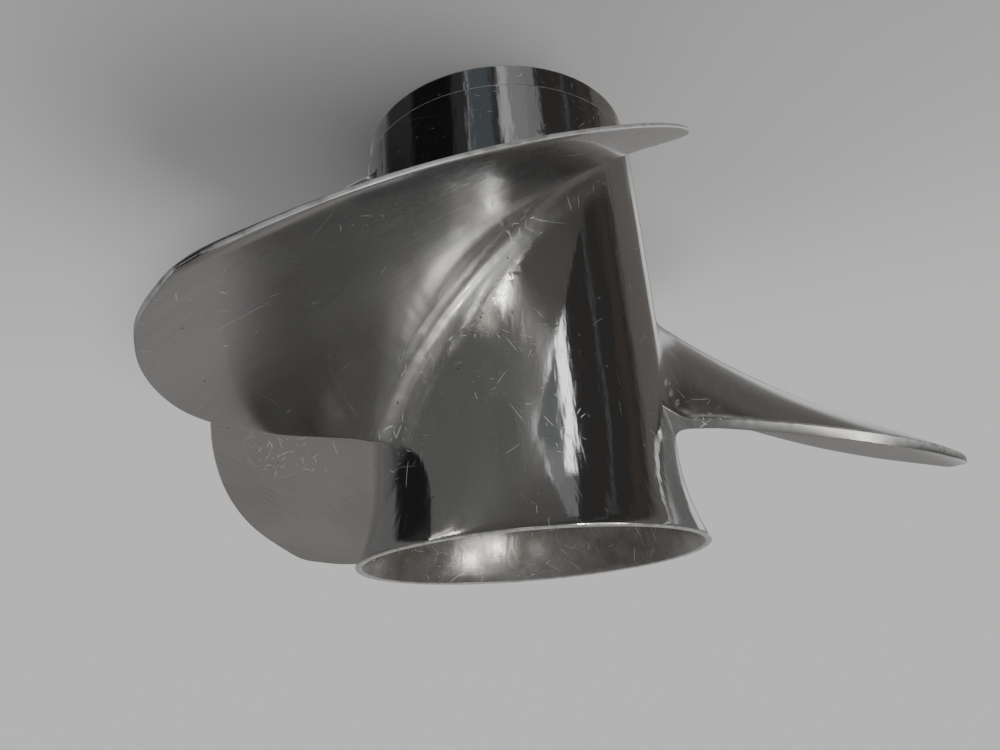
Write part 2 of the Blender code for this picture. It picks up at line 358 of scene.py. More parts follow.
# %% [markdown]
# A blade is a piece of a raked screw surface. No primitive comes near that, and a grid is the
# closest start: its columns run round the blade's cut section, its rows run from the barrel
# to the tip, and each point is moved to where the screw puts it. The section has a rounded
# leading edge and a blunt, ground trailing edge. At the barrel the section swells by a
# quarter circle, which is the cast fillet. The sizes repeat those of the solid.

# %% Blade sizes
BLADE_COUNT = 3
BLADE_TURN = math.radians(-90)
TIP_RADIUS = 0.1937
BLADE_HEIGHT = 0.0710
RAKE = 0.0812
RAKE_CURVE = -0.0139
PITCH_ROOT = 0.399
PITCH_TIP = 0.354
PITCH_GAIN_ROOT = 0.0172
PITCH_GAIN_TIP = 0.0032
ROOT_THICKNESS = 0.0095
TIP_THICKNESS = 0.0030
LEADING_THICKNESS = 0.0010
TRAILING_THICKNESS = 0.0042
TIP_EDGE_THICKNESS = 0.0014
THINNING_SHARE = 0.55
CUP_DEPTH = 0.0012
CUP_SHARE = 0.14
LEADING_FILLET = 0.0036
MIDDLE_FILLET = 0.0120
TRAILING_FILLET = 0.0085
TAIL_SPREAD = 0.20
ROOT_SINK = 0.0020
EDGE_ROUNDING = 0.00045
TRAILING_ROUNDING = 0.0004
TIP_ROUNDING = 0.0012
TIP_SLACK = 0.002
SECTION_FULLNESS = 0.6
LEAST_ROUNDNESS = 0.12
LEAST_HALF = 0.00004
NOSE_LIMIT = 0.2
TAIL_LIMIT = 0.1
SUNK_GROWTH = 0.35
CUP_FADE = 5
FIRST_FILLET_TURN = 3

# The outline of a blade as degrees round the shaft at shares of its height
OUTLINE_SHARES = (0.0, 0.05, 0.12, 0.25, 0.45, 0.65, 0.80, 0.90, 0.96, 1.0)
LEADING_DEGREES = (-58.0, -57.5, -54.0, -40.5, -30.0, -17.5, -6.5, 1.8, 8.6, 16.3)
TRAILING_DEGREES = (52.3, 52.3, 50.0, 46.5, 41.5, 35.7, 30.1, 25.6, 21.95, 18.1)

CORNER_STEPS = 7
CHORD_STEPS = 42
FILLET_ROWS = 14
BLADE_ROWS = 46
TIP_ROWS = 4

# %% [markdown]
# These functions are the blade's drawing: its outline, its screw surface, its thickness, and
# from those the closed section at any radius. A sculpted mesh would be quicker to start, but
# the real blade is defined this way, and the marks made later need the same sums.

# %% Blade surface
def smooth_between(shares, values, share):
    """A smooth curve through a short table, with the slope at each point of its neighbours."""
    last = len(shares) - 1
    slopes = []
    for place in range(last + 1):
        before = max(place - 1, 0)
        after = min(place + 1, last)
        slopes.append((values[after] - values[before]) / (shares[after] - shares[before]))
    place = 0
    while place < last - 1 and share > shares[place + 1]:
        place += 1
    width = shares[place + 1] - shares[place]
    way = min(max((share - shares[place]) / width, 0.0), 1.0)
    start = values[place] * (1 + 2 * way) * (1 - way) ** 2
    end = values[place + 1] * way ** 2 * (3 - 2 * way)
    start_slope = slopes[place] * width * way * (1 - way) ** 2
    end_slope = slopes[place + 1] * width * way ** 2 * (way - 1)
    return start + end + start_slope + end_slope


def blade_share(radius):
    """How far up the blade a radius lies: 0 at the barrel and 1 at the tip."""
    return (radius - BARREL_RADIUS) / (TIP_RADIUS - BARREL_RADIUS)


def tip_root(share):
    """Falls to nearly nothing at the tip as a circle does, which keeps the tip round."""
    return math.sqrt(max(1 + TIP_SLACK - share, 0.0))


MIDDLE_DEGREES = [(l + t) / 2 for l, t in zip(LEADING_DEGREES, TRAILING_DEGREES)]
SPREAD_DEGREES = [
    (trailing - leading) / 2 / tip_root(share)
    for share, leading, trailing in zip(OUTLINE_SHARES, LEADING_DEGREES, TRAILING_DEGREES)
]


def blade_edges(share):
    """Angles of the leading and the trailing edge at a share of the blade's height."""
    share = min(max(share, 0.0), 1.0)
    middle = smooth_between(OUTLINE_SHARES, MIDDLE_DEGREES, share)
    spread = smooth_between(OUTLINE_SHARES, SPREAD_DEGREES, share) * tip_root(share)
    return math.radians(middle - spread), math.radians(middle + spread)


def mean_height(radius, angle):
    """Height of the blade's middle surface: a raked screw whose pitch grows aft."""
    share = blade_share(radius)
    rake = RAKE * share + RAKE_CURVE * share ** 2
    pitch = PITCH_ROOT + (PITCH_TIP - PITCH_ROOT) * share
    gain = PITCH_GAIN_ROOT + (PITCH_GAIN_TIP - PITCH_GAIN_ROOT) * share
    return BLADE_HEIGHT + rake + pitch * angle / (2 * math.pi) + gain * angle ** 2


def fillet_growth(out, way):
    """How far the fillet stands out of the blade, this far above the barrel."""
    way = min(max(way, 0.0), 1.0)
    ends = LEADING_FILLET + (TRAILING_FILLET - LEADING_FILLET) * way
    swell = MIDDLE_FILLET - (LEADING_FILLET + TRAILING_FILLET) / 2
    fillet = ends + swell * 4 * way * (1 - way)
    if out >= fillet:
        return 0.0
    left = min(fillet - out, fillet)
    below = max(-out, 0.0)
    return fillet - math.sqrt(fillet ** 2 - left ** 2) + SUNK_GROWTH * below


def half_thickness(share, way):
    """Half the blade's thickness at a share of its height and a share of its chord."""
    share = min(max(share, 0.0), 1.0)
    thick = ROOT_THICKNESS + (TIP_THICKNESS - ROOT_THICKNESS) * share
    thinning = max(share - THINNING_SHARE, 0.0) / (1 - THINNING_SHARE)
    tail = TRAILING_THICKNESS + (TIP_EDGE_THICKNESS - TRAILING_THICKNESS) * thinning ** 2
    edge = LEADING_THICKNESS + (tail - LEADING_THICKNESS) * way ** 2
    bulge = math.sin(math.pi * min(max(way, 0.0), 1.0)) ** SECTION_FULLNESS
    return (edge + max(thick - edge, 0.0) * bulge) / 2


def section_stations(radius):
    """Places round one side of the section: distance from the leading edge, and half width."""
    share = blade_share(radius)
    leading, trailing = blade_edges(share)
    share = min(max(share, 0.0), 1.0)
    pitch = PITCH_ROOT + (PITCH_TIP - PITCH_ROOT) * share
    slope = math.atan2(pitch, 2 * math.pi * radius)
    chord = (trailing - leading) * radius / math.cos(slope)
    out = radius - BARREL_RADIUS
    nose_growth = fillet_growth(out, 0.0)
    tail_growth = fillet_growth(out, 1.0)
    tail_reach = tail_growth * TAIL_SPREAD
    from_tip = max(TIP_RADIUS - radius, 0.0) / TIP_ROUNDING
    roundness = math.sqrt(1 - (1 - min(from_tip, 1.0)) ** 2)
    roundness = max(roundness, LEAST_ROUNDNESS)
    nose = min(EDGE_ROUNDING, chord * NOSE_LIMIT) + nose_growth
    tail = min(TRAILING_ROUNDING, chord * TAIL_LIMIT) + tail_reach
    nose_half = half_thickness(share, 0.0) * roundness + nose_growth
    tail_half = half_thickness(share, 1.0) * roundness + tail_growth
    stations = []
    for step in range(CORNER_STEPS):
        turn = math.pi / 2 * step / CORNER_STEPS
        half = nose_half - nose * (1 - math.sin(turn))
        stations.append((-nose_growth + nose * (1 - math.cos(turn)), half))
    start = nose - nose_growth
    end = chord + tail_reach - tail
    for step in range(CHORD_STEPS + 1):
        along = start + (end - start) * (1 - math.cos(math.pi * step / CHORD_STEPS)) / 2
        way = (along - start) / (end - start)
        growth = fillet_growth(out, way)
        stations.append((along, half_thickness(share, way) * roundness + growth))
    for step in range(CORNER_STEPS - 1, -1, -1):
        turn = math.pi / 2 * step / CORNER_STEPS
        half = tail_half - tail * (1 - math.sin(turn))
        stations.append((chord + tail_reach - tail * (1 - math.cos(turn)), half))
    stations = [(along, max(half, LEAST_HALF)) for along, half in stations]
    return stations, chord, slope, leading


def section_points(radius):
    """The closed section at a radius, up the aft face and back along the front face."""
    stations, chord, slope, leading = section_stations(radius)
    share = min(max(blade_share(radius), 0.0), 1.0)
    cup_fade = min(1.0, CUP_FADE * share, CUP_FADE * (1 - share))
    points = []
    for side in (1, -1):
        for along, half in stations[::side]:
            cup_way = max(0.0, (along / chord - 1 + CUP_SHARE) / CUP_SHARE)
            offset = side * half + CUP_DEPTH * cup_way ** 2 * cup_fade
            angle = leading + along * math.cos(slope) / radius
            turned_angle = angle - offset * math.sin(slope) / radius
            height = mean_height(radius, angle) + offset * math.cos(slope)
            across = radius * math.cos(turned_angle)
            points.append((across, radius * math.sin(turned_angle), height))
    return points


def blade_radii():
    """Radii of the sections, close together in the fillet and at the rounded tip."""
    radii = [BARREL_RADIUS - ROOT_SINK, BARREL_RADIUS - ROOT_SINK / 2]
    for row in range(FILLET_ROWS + 1):
        turn = math.radians(FIRST_FILLET_TURN + (90 - FIRST_FILLET_TURN) * row / FILLET_ROWS)
        radii.append(BARREL_RADIUS + MIDDLE_FILLET * (1 - math.cos(turn)))
    start = radii[-1]
    end = TIP_RADIUS - TIP_ROUNDING
    for row in range(1, BLADE_ROWS + 1):
        radii.append(start + (end - start) * math.sin(math.pi / 2 * row / BLADE_ROWS))
    for row in range(1, TIP_ROWS + 1):
        radii.append(end + TIP_ROUNDING * math.sin(math.pi / 2 * row / TIP_ROWS))
    return radii


# %% [markdown]
# The grid primitive has as many columns as the section has points, and its last column lies
# on its first, so merging closes the skin. A face closes the end in the barrel's wall and the
# one at the tip, because only closed pieces can be joined as solids.

# %% Blades
def blade():
    """One blade, whose reference line lies on the X axis."""
    radii = blade_radii()
    sections = [section_points(radius) for radius in radii]
    around = len(sections[0])
    nothing_selected()
    bpy.ops.mesh.primitive_grid_add(
        x_subdivisions=around, y_subdivisions=len(radii) - 1, size=1
    )
    piece = named("blade_1")
    places = []
    for section in sections:
        places.extend(section + section[:1])
    piece.data.vertices.foreach_set("co", np.array(places, dtype=np.float32).ravel())
    piece.data.update()
    clean(piece)
    bpy.ops.object.mode_set(mode="EDIT")
    bpy.ops.mesh.select_all(action="DESELECT")
    bpy.ops.mesh.select_mode(type="EDGE")
    bpy.ops.mesh.select_non_manifold()
    bpy.ops.mesh.edge_face_add()
    bpy.ops.object.mode_set(mode="OBJECT")
    clean(piece)
    return piece


blades = spread_round(blade(), BLADE_COUNT, BLADE_TURN)
print("blade:", triangles(blades[0]), "triangles,", len(blade_radii()), "sections")

# %% [markdown]
# The casting is one solid, so its pieces are joined by union. Joining them by voxel remesh
# would round the thin blade edges away. Weighted normals then keep the long flat faces of
# the barrel from bending in the shading.

# %% Join the casting
JOIN_DISTANCE = 0.00001
FACE_WEIGHT = 80

fuse(casting, [inner_hub] + ribs + blades)
clean(casting, JOIN_DISTANCE)
smooth(casting)
weigh = casting.modifiers.new("even shading", "WEIGHTED_NORMAL")
weigh.keep_sharp = True
weigh.weight = FACE_WEIGHT
apply_modifiers(casting)
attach(casting, BODY)
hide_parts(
    "exhaust_barrel", "inner_hub", "rib_1", "rib_2", "rib_3",
    "blade_1", "blade_2", "blade_3"
)
print("casting:", triangles(casting), "triangles")

# %% [markdown]
# Steel takes nearly all of its looks from what it mirrors, so the finish needs to know where on
# the casting it is. The mesh could be cut into many materials, but their borders would show.
# So five values are kept on the points instead, worked out with the sizes that placed them:
# how far a point lies on a blade, how deep in a fillet, how near a worn edge (which also gets a
# painted highlight), how near a knocked place, and whether it is inside.

# %% Where each point lies
# the band along worn blade edges, rims and the collar's step: real wear, which the steel also
# paints near white as a painted highlight
WEAR_HIGHLIGHT_WIDTH = 0.0008
RIM_WEAR_HIGHLIGHT = 0.8
STEP_WEAR_HIGHLIGHT = 0.6
BLADE_START = 0.0004
BLADE_BORDER = 0.0060
BARREL_SKIN = 0.0008
FILLET_REACH = 0.0150
FILLET_FULL = 0.45
KNOCKED_CORE = 0.3
OUTLINE_SAMPLES = 201
ZONES = ("on_blade", "in_fillet", "worn_edge_highlight", "inside", "knocked")
# places where it was knocked or dragged: x, y, z and how far the scratches reach
KNOCKED_PLACES = (
    (0.009, -0.060, 0.137, 0.011),
    (-0.003, -0.060, 0.119, 0.012),
    (-0.011, -0.059, 0.150, 0.016),
    (0.002, -0.060, 0.018, 0.010),
    (0.005, -0.060, 0.025, 0.008),
    (0.012, -0.061, 0.101, 0.015),
    (-0.006, -0.067, 0.078, 0.012),
    (0.025, -0.059, 0.112, 0.014),
    (0.045, -0.044, 0.154, 0.016),
    (0.115, 0.065, 0.114, 0.036),
    (-0.070, -0.024, 0.141, 0.014),
    (-0.052, 0.030, 0.120, 0.020),
    (0.030, 0.052, 0.060, 0.018),
    (-0.120, 0.090, 0.120, 0.034),
)


def smooth_step(start, end, value):
    """Goes smoothly from 0 at the start to 1 at the end."""
    way = np.clip((value - start) / (end - start), 0.0, 1.0)
    return way * way * (3 - 2 * way)


def wall_radii(height):
    """Radius of the outside and of the middle of the barrel's wall at each height."""
    flare_start = HUB_LENGTH - FLARE_LENGTH
    samples = flare_arc(BARREL_RADIUS, flare_start, FLARE_RISE, FLARE_LENGTH, FLARE_ROWS)
    heights = [0.0] + [point[1] for point in samples]
    radii = [BARREL_RADIUS] + [point[0] for point in samples]
    outside = np.interp(height, heights, radii)
    walls = [BARREL_WALL, FLARE_LIP_THICKNESS]
    wall = np.interp(height, [flare_start, HUB_LENGTH], walls)
    return outside, outside - wall / 2


def read_all(items, name, size=1, kind=np.float32):
    """Reads one property of all points, corners or faces into an array."""
    values = np.empty(len(items) * size, dtype=kind)
    items.foreach_get(name, values)
    return values if size == 1 else values.reshape(-1, size).astype(float)


def shaft_distance(points):
    return np.hypot(points[:, 0], points[:, 1])


def screw_stretch(radius):
    """Length along the screw for each radian of turn at a radius."""
    return np.hypot(radius, PITCH_ROOT / (2 * math.pi))


def near_blade(points):
    """For each point: its nearest blade, its angle there, and its height above that blade."""
    radius = shaft_distance(points)
    angle = np.arctan2(points[:, 1], points[:, 0])
    lines = BLADE_TURN + np.arange(BLADE_COUNT) * 2 * math.pi / BLADE_COUNT
    local = (angle[None, :] - lines[:, None] + math.pi) % (2 * math.pi) - math.pi
    above = points[:, 2][None, :] - mean_height(radius[None, :], local)
    which = np.argmin(np.abs(above), axis=0)
    column = np.arange(len(points))
    return which, local[which, column], above[which, column]


def edge_distances(points):
    """Distance along the blade past its leading and trailing edge; inside it is below 0."""
    radius = shaft_distance(points)
    table = np.linspace(0.0, 1.0, OUTLINE_SAMPLES)
    edges = np.array([blade_edges(value) for value in table])
    share = np.clip(blade_share(radius), 0.0, 1.0)
    local = near_blade(points)[1]
    stretch = screw_stretch(radius)
    before = (np.interp(share, table, edges[:, 0]) - local) * stretch
    after = (local - np.interp(share, table, edges[:, 1])) * stretch
    return before, after


def fillet_depth(points, out):
    """How deep each point lies in the fillet between a blade and the barrel, from 0 to 1."""
    radius = shaft_distance(points)
    above = near_blade(points)[2]
    lean = radius / screw_stretch(radius)
    side = np.maximum(np.abs(above) * lean - ROOT_THICKNESS / 2, 0.0)
    beyond = np.maximum(np.maximum(*edge_distances(points)), 0.0)
    away = np.maximum(np.hypot(side, beyond), out)
    return smooth_step(0.0, FILLET_FULL, 1 - away / FILLET_REACH)


def knocked_depth(points):
    """How near each point lies to a knocked place, from 0 to 1."""
    depth = np.zeros(len(points))
    for x, y, z, reach in KNOCKED_PLACES:
        away = np.linalg.norm(points - np.array((x, y, z)), axis=1)
        depth = np.maximum(depth, smooth_step(reach, reach * KNOCKED_CORE, away))
    return depth


def keep_on_points(piece, name, values):
    layer = piece.data.attributes.new(name, "FLOAT", "POINT")
    layer.data.foreach_set("value", np.asarray(values, dtype=np.float32))


def mark_casting(piece):
    """Works out the five values on every point of the casting and keeps them there."""
    points = read_all(piece.data.vertices, "co", 3)
    radius = shaft_distance(points)
    height = points[:, 2]
    outside, middle = wall_radii(height)
    in_flare = height > HUB_LENGTH - FLARE_LENGTH / 2
    on_blade = smooth_step(BLADE_START, BLADE_BORDER, radius - outside)
    on_blade[in_flare] = 0.0
    before, after = edge_distances(points)
    # worn edges, rims and the collar's step: real wear, and also where the steel paints a
    # near-white line, a painted highlight
    leading_wear_highlight = smooth_step(WEAR_HIGHLIGHT_WIDTH, WEAR_HIGHLIGHT_WIDTH / 3, np.abs(before))
    trailing_wear_highlight = smooth_step(WEAR_HIGHLIGHT_WIDTH, WEAR_HIGHLIGHT_WIDTH / 3, np.abs(after))
    blade_wear_highlight = np.maximum(leading_wear_highlight, trailing_wear_highlight)
    rim_distance = np.minimum(height, HUB_LENGTH - height)
    rim_wear_highlight = RIM_WEAR_HIGHLIGHT * smooth_step(WEAR_HIGHLIGHT_WIDTH, WEAR_HIGHLIGHT_WIDTH / 4, rim_distance)
    step_distance = np.abs(height - COLLAR_LENGTH - COLLAR_STEP)
    step_wear_highlight = STEP_WEAR_HIGHLIGHT * smooth_step(SHARP_STEP, SHARP_STEP / 4, step_distance)
    step_wear_highlight *= radius > middle
    on_barrel = 1 - smooth_step(0.0, BARREL_SKIN, radius - outside)
    wear_and_highlight = np.where(on_barrel > 0.5, np.maximum(rim_wear_highlight, step_wear_highlight), blade_wear_highlight)
    within = (radius < middle) * 1.0
    depth = fillet_depth(points, np.maximum(radius - outside, 0.0)) * (1 - within)
    depth[in_flare] = 0.0
    zones = (on_blade, depth, wear_and_highlight, within, knocked_depth(points))
    for name, values in zip(ZONES, zones):
        keep_on_points(piece, name, values)
    return wear_and_highlight


# the worn edges, rims and step, where the painted highlight goes later
wear_and_highlight = mark_casting(casting)
print("points near a worn edge:", int((wear_and_highlight > 0.5).sum()), "of", len(wear_and_highlight))

# %% [markdown]
# Scratches and brush marks lie in the surface, so they need coordinates that run in it. A
# plain unwrap would cut the casting into hundreds of islands. The shapes are known here, so
# the map is worked out instead, in metres: round and along the shaft on the barrel, and along
# the chord and out to the tip on a blade. Each side of each blade has its own part of the map.

# %% Unrolled coordinates
BLADE_SPACING = 0.4
SIDE_SPACING = 0.2


def unroll(piece):
    """Lays each face out by the place of its centre, so that no face is torn at a border."""
    mesh = piece.data
    point_of = read_all(mesh.loops, "vertex_index", kind=np.int32)
    counts = read_all(mesh.polygons, "loop_total", kind=np.int32)
    face_of = np.repeat(np.arange(len(mesh.polygons)), counts)
    centres = read_all(mesh.polygons, "center", 3)
    places = read_all(mesh.vertices, "co", 3)[point_of]

    radius = shaft_distance(places)
    centre_radius = shaft_distance(centres)
    bearing = np.arctan2(centres[:, 0], -centres[:, 1])[face_of]
    turn = np.arctan2(places[:, 0], -places[:, 1])
    turn = bearing + (turn - bearing + math.pi) % (2 * math.pi) - math.pi
    which, local, above = near_blade(centres)
    line = BLADE_TURN + which[face_of] * 2 * math.pi / BLADE_COUNT
    along = (turn - math.pi / 2 - line - local[face_of] + math.pi) % (2 * math.pi) - math.pi
    along = (along + local[face_of]) * screw_stretch(radius)
    part = BLADE_SPACING * (1 + which) + SIDE_SPACING * (above > 0)
    outside = wall_radii(centres[:, 2])[0]
    bladed = (centre_radius - outside > BLADE_BORDER / 3)[face_of]
    across = np.where(bladed, along, turn * BARREL_RADIUS)
    up = np.where(bladed, radius + part[face_of], places[:, 2])
    for old in list(mesh.uv_layers):
        mesh.uv_layers.remove(old)
    layer = mesh.uv_layers.new(name="skin")
    layer.data.foreach_set("uv", np.stack([across, up], axis=1).astype(np.float32).ravel())
    return across, up


across, up = unroll(casting)
print("unrolled:", round(float(np.ptp(across)), 3), "by", round(float(np.ptp(up)), 3), "m")

# %% [markdown]
# Procedural finishes are small sums on node sockets. Written out node by node they are long,
# so these helpers add a node, feed its sockets with a link or a plain number, and hand back
# what comes out. A finish that more than one material shows becomes a node group.

# %% Node helpers
def node(tree, kind, **settings):
    made = tree.nodes.new(kind)
    for name, value in settings.items():
        setattr(made, name, value)
    return made


def feed(tree, socket, value):
    """Links another node's output to a socket, or sets the socket to a plain value."""
    if isinstance(value, bpy.types.NodeSocket):
        tree.links.new(value, socket)
    else:
        socket.default_value = value


def reckon(tree, operation, *values):
    """One Math node: the result of an operation on one to three values."""
    made = node(tree, "ShaderNodeMath", operation=operation)
    for place, value in enumerate(values):
        feed(tree, made.inputs[place], value)
    return made.outputs[0]


def between(tree, value, low, high, start=0.0, end=1.0):
    """Goes smoothly from start to end while the value goes from low to high."""
    made = node(tree, "ShaderNodeMapRange", interpolation_type="SMOOTHSTEP")
    for name, number in zip(
        ("Value", "From Min", "From Max", "To Min", "To Max"), (value, low, high, start, end)
    ):
        feed(tree, made.inputs[name], number)
    return made.outputs["Result"]


def blend_colours(tree, share, first, second):
    made = node(tree, "ShaderNodeMix", data_type="RGBA")
    feed(tree, made.inputs[0], share)
    feed(tree, made.inputs[6], first)
    feed(tree, made.inputs[7], second)
    return made.outputs[2]


def blend_values(tree, share, first, second):
    made = node(tree, "ShaderNodeMix", data_type="FLOAT")
    feed(tree, made.inputs[0], share)
    feed(tree, made.inputs[2], first)
    feed(tree, made.inputs[3], second)
    return made.outputs[0]


def stretched(tree, place, scale, shift=(0.0, 0.0, 0.0)):
    """A copy of the coordinates, moved, and stretched by a different scale each way."""
    moved = node(tree, "ShaderNodeMapping", vector_type="POINT")
    feed(tree, moved.inputs["Vector"], place)
    moved.inputs["Location"].default_value = shift
    made = node(tree, "ShaderNodeVectorMath", operation="MULTIPLY")
    feed(tree, made.inputs[0], moved.outputs[0])
    made.inputs[1].default_value = scale
    return made.outputs[0]


def cloud(tree, place, scale=1.0, detail=2.0, roughness=0.5):
    """Soft noise from 0 to 1."""
    made = node(tree, "ShaderNodeTexNoise")
    feed(tree, made.inputs["Vector"], place)
    made.inputs["Scale"].default_value = scale
    made.inputs["Detail"].default_value = detail
    made.inputs["Roughness"].default_value = roughness
    return made.outputs["Fac"]


def finish_group(name, inputs, outputs):
    """An empty shader group with its sockets, and its inner ends."""
    tree = bpy.data.node_groups.new(name, "ShaderNodeTree")
    for socket, kind, value in inputs:
        made = tree.interface.new_socket(socket, in_out="INPUT", socket_type=kind)
        if value is not None:
            made.default_value = value
    for socket, kind in outputs:
        tree.interface.new_socket(socket, in_out="OUTPUT", socket_type=kind)
    return tree, node(tree, "NodeGroupInput"), node(tree, "NodeGroupOutput")


def centred(tree, value, amount):
    """Noise from 0 to 1 as a small push up or down."""
    return reckon(tree, "MULTIPLY", reckon(tree, "SUBTRACT", value, 0.5), amount)


def from_shaft(tree, place):
    """How far a point lies from the shaft axis, and its place seen along that axis."""
    parts = node(tree, "ShaderNodeSeparateXYZ")
    feed(tree, parts.inputs[0], place)
    flat = node(tree, "ShaderNodeCombineXYZ")
    feed(tree, flat.inputs[0], parts.outputs[0])
    feed(tree, flat.inputs[1], parts.outputs[1])
    reach = node(tree, "ShaderNodeVectorMath", operation="LENGTH")
    feed(tree, reach.inputs[0], flat.outputs[0])
    return reach.outputs["Value"], flat.outputs[0]


def new_material(name):
    material = bpy.data.materials.new(name)
    material.use_nodes = True
    tree = material.node_tree
    return material, tree, tree.nodes["Principled BSDF"]


def raise_surface(tree, shader, height, distance=1.0):
    """Turns a height, times a distance in metres, into the shader's normal."""
    bump = node(tree, "ShaderNodeBump")
    bump.inputs["Strength"].default_value = 1.0
    bump.inputs["Distance"].default_value = distance
    feed(tree, bump.inputs["Height"], height)
    feed(tree, shader.inputs["Normal"], bump.outputs["Normal"])


def use_group(tree, group, **values):
    made = node(tree, "ShaderNodeGroup")
    made.node_tree = group
    for name, value in values.items():
        feed(tree, made.inputs[name], value)
    return made


print("node helpers ready")

# %% [markdown]
# A used propeller has scratches in every direction, in patches where it was knocked or
# dragged. Stretched noise gives lines, but they all run one way and look woven. Here each
# cell of a Voronoi pattern holds one stroke, and the cell's own random colour gives the
# stroke's direction, length, bend and depth. Four sizes of cell together look like real wear.

# %% Scratches, shared by the metals
SCRATCH_PATCH = 0.030
SCRATCH_FAMILY = 0.040
# the spacing of the strokes, their greatest length and their width, and a shift of the pattern
SCRATCH_SIZES = (
    (0.0230, 0.0240, 0.00030, (0.31, 0.17, 0.0)),
    (0.0110, 0.0120, 0.00026, (0.73, 0.41, 0.0)),
    (0.0045, 0.0052, 0.00020, (0.11, 0.57, 0.0)),
    (0.0080, 0.0095, 0.00022, (0.19, 0.83, 0.0)),
)
# strokes in one place lie nearly the same way, and each has a small turn of its own, in radians
FAMILY_TURN = 14.0
OWN_TURN = 1.3
STROKE_BEND = 0.5
# a stroke's soft side as shares of its half width, and where its ends begin to fade
STROKE_SOFT_EDGE = (0.5, 1.2)
STROKE_TAPER = 0.4
# how much of the surface stays bare, and how far a wider spread lowers that
BARE_SHARE = 0.72
SPREAD_REACH = 0.5
PATCH_SOFT_EDGE = 0.16
FAINTEST_STROKE = 0.12


def stroke(tree, place, size, spread):
    """One straight scratch in each cell of a pattern, as a mask."""
    spacing, length, width, shift = size
    moved = stretched(tree, place, (1 / spacing,) * 3, shift)
    cells = node(tree, "ShaderNodeTexVoronoi", voronoi_dimensions="2D", feature="F1")
    feed(tree, cells.inputs["Vector"], moved)
    cells.inputs["Scale"].default_value = 1.0
    chance = node(tree, "ShaderNodeSeparateColor")
    feed(tree, chance.inputs[0], cells.outputs["Color"])
    away = node(tree, "ShaderNodeVectorMath", operation="SUBTRACT")
    feed(tree, away.inputs[0], moved)
    feed(tree, away.inputs[1], cells.outputs["Position"])
    turned_way = node(tree, "ShaderNodeVectorRotate", rotation_type="Z_AXIS")
    feed(tree, turned_way.inputs["Vector"], away.outputs[0])
    family = cloud(tree, cells.outputs["Position"], scale=spacing / SCRATCH_FAMILY, detail=0.0)
    own_turn = reckon(tree, "MULTIPLY", chance.outputs[0], OWN_TURN)
    angle = reckon(tree, "MULTIPLY_ADD", family, FAMILY_TURN, own_turn)
    feed(tree, turned_way.inputs["Angle"], angle)
    parts = node(tree, "ShaderNodeSeparateXYZ")
    feed(tree, parts.inputs[0], turned_way.outputs[0])
    bend = centred(tree, chance.outputs[1], STROKE_BEND)
    square = reckon(tree, "MULTIPLY", parts.outputs[0], parts.outputs[0])
    middle = reckon(tree, "MULTIPLY_ADD", square, bend, parts.outputs[1])
    half_width = width / spacing / 2
    core, rim = (half_width * share for share in STROKE_SOFT_EDGE)
    thin = between(tree, reckon(tree, "ABSOLUTE", middle), core, rim, 1.0, 0.0)
    reach = reckon(tree, "MULTIPLY", chance.outputs[2], length / spacing / 2)
    start = reckon(tree, "MULTIPLY", reach, STROKE_TAPER)
    short = between(tree, reckon(tree, "ABSOLUTE", parts.outputs[0]), start, reach, 1.0, 0.0)
    patch = cloud(tree, cells.outputs["Position"], scale=spacing / SCRATCH_PATCH, detail=1.0)
    widened = reckon(tree, "MULTIPLY", spread, SPREAD_REACH)
    bare = reckon(tree, "SUBTRACT", BARE_SHARE, widened)
    kept = between(tree, patch, bare, reckon(tree, "ADD", bare, PATCH_SOFT_EDGE))
    depth = reckon(tree, "POWER", chance.outputs[1], 2.0)
    depth = reckon(tree, "MULTIPLY_ADD", depth, 1 - FAINTEST_STROKE, FAINTEST_STROKE)
    line = reckon(tree, "MULTIPLY", thin, short)
    return reckon(tree, "MULTIPLY", line, reckon(tree, "MULTIPLY", kept, depth))


def make_scratches():
    tree, start, end = finish_group(
        "scratches",
        [("Place", "NodeSocketVector", None), ("Spread", "NodeSocketFloat", 0.5)],
        [("Mask", "NodeSocketFloat")],
    )
    mask = None
    for size in SCRATCH_SIZES:
        one = stroke(tree, start.outputs["Place"], size, start.outputs["Spread"])
        mask = one if mask is None else reckon(tree, "MAXIMUM", mask, one)
    feed(tree, end.inputs["Mask"], mask)
    return tree


scratches = make_scratches()
print("scratches:", len(scratches.nodes), "nodes")

# %% [markdown]
# Polishing leaves two more marks. The wheel leaves brush lines that follow its path, round the
# barrel and along each blade's chord, and it never leaves a true cylinder, so reflections run
# in slow waves along the shaft. Both are noise, stretched along the path or along the shaft.
# Dirt that was never polished away is a third mark: specks in a few small pits.

# %% Polishing marks, shared by the metals
HAIRLINE_WIDTH = 0.0006
HAIRLINE_LENGTH = 0.030
WAVE_ROUND = 0.0090
WAVE_ALONG = 0.034
SPECK_SPACING = 0.011
SPECK_SIZE = (0.025, 0.050)
SPECK_RARITY = 0.84


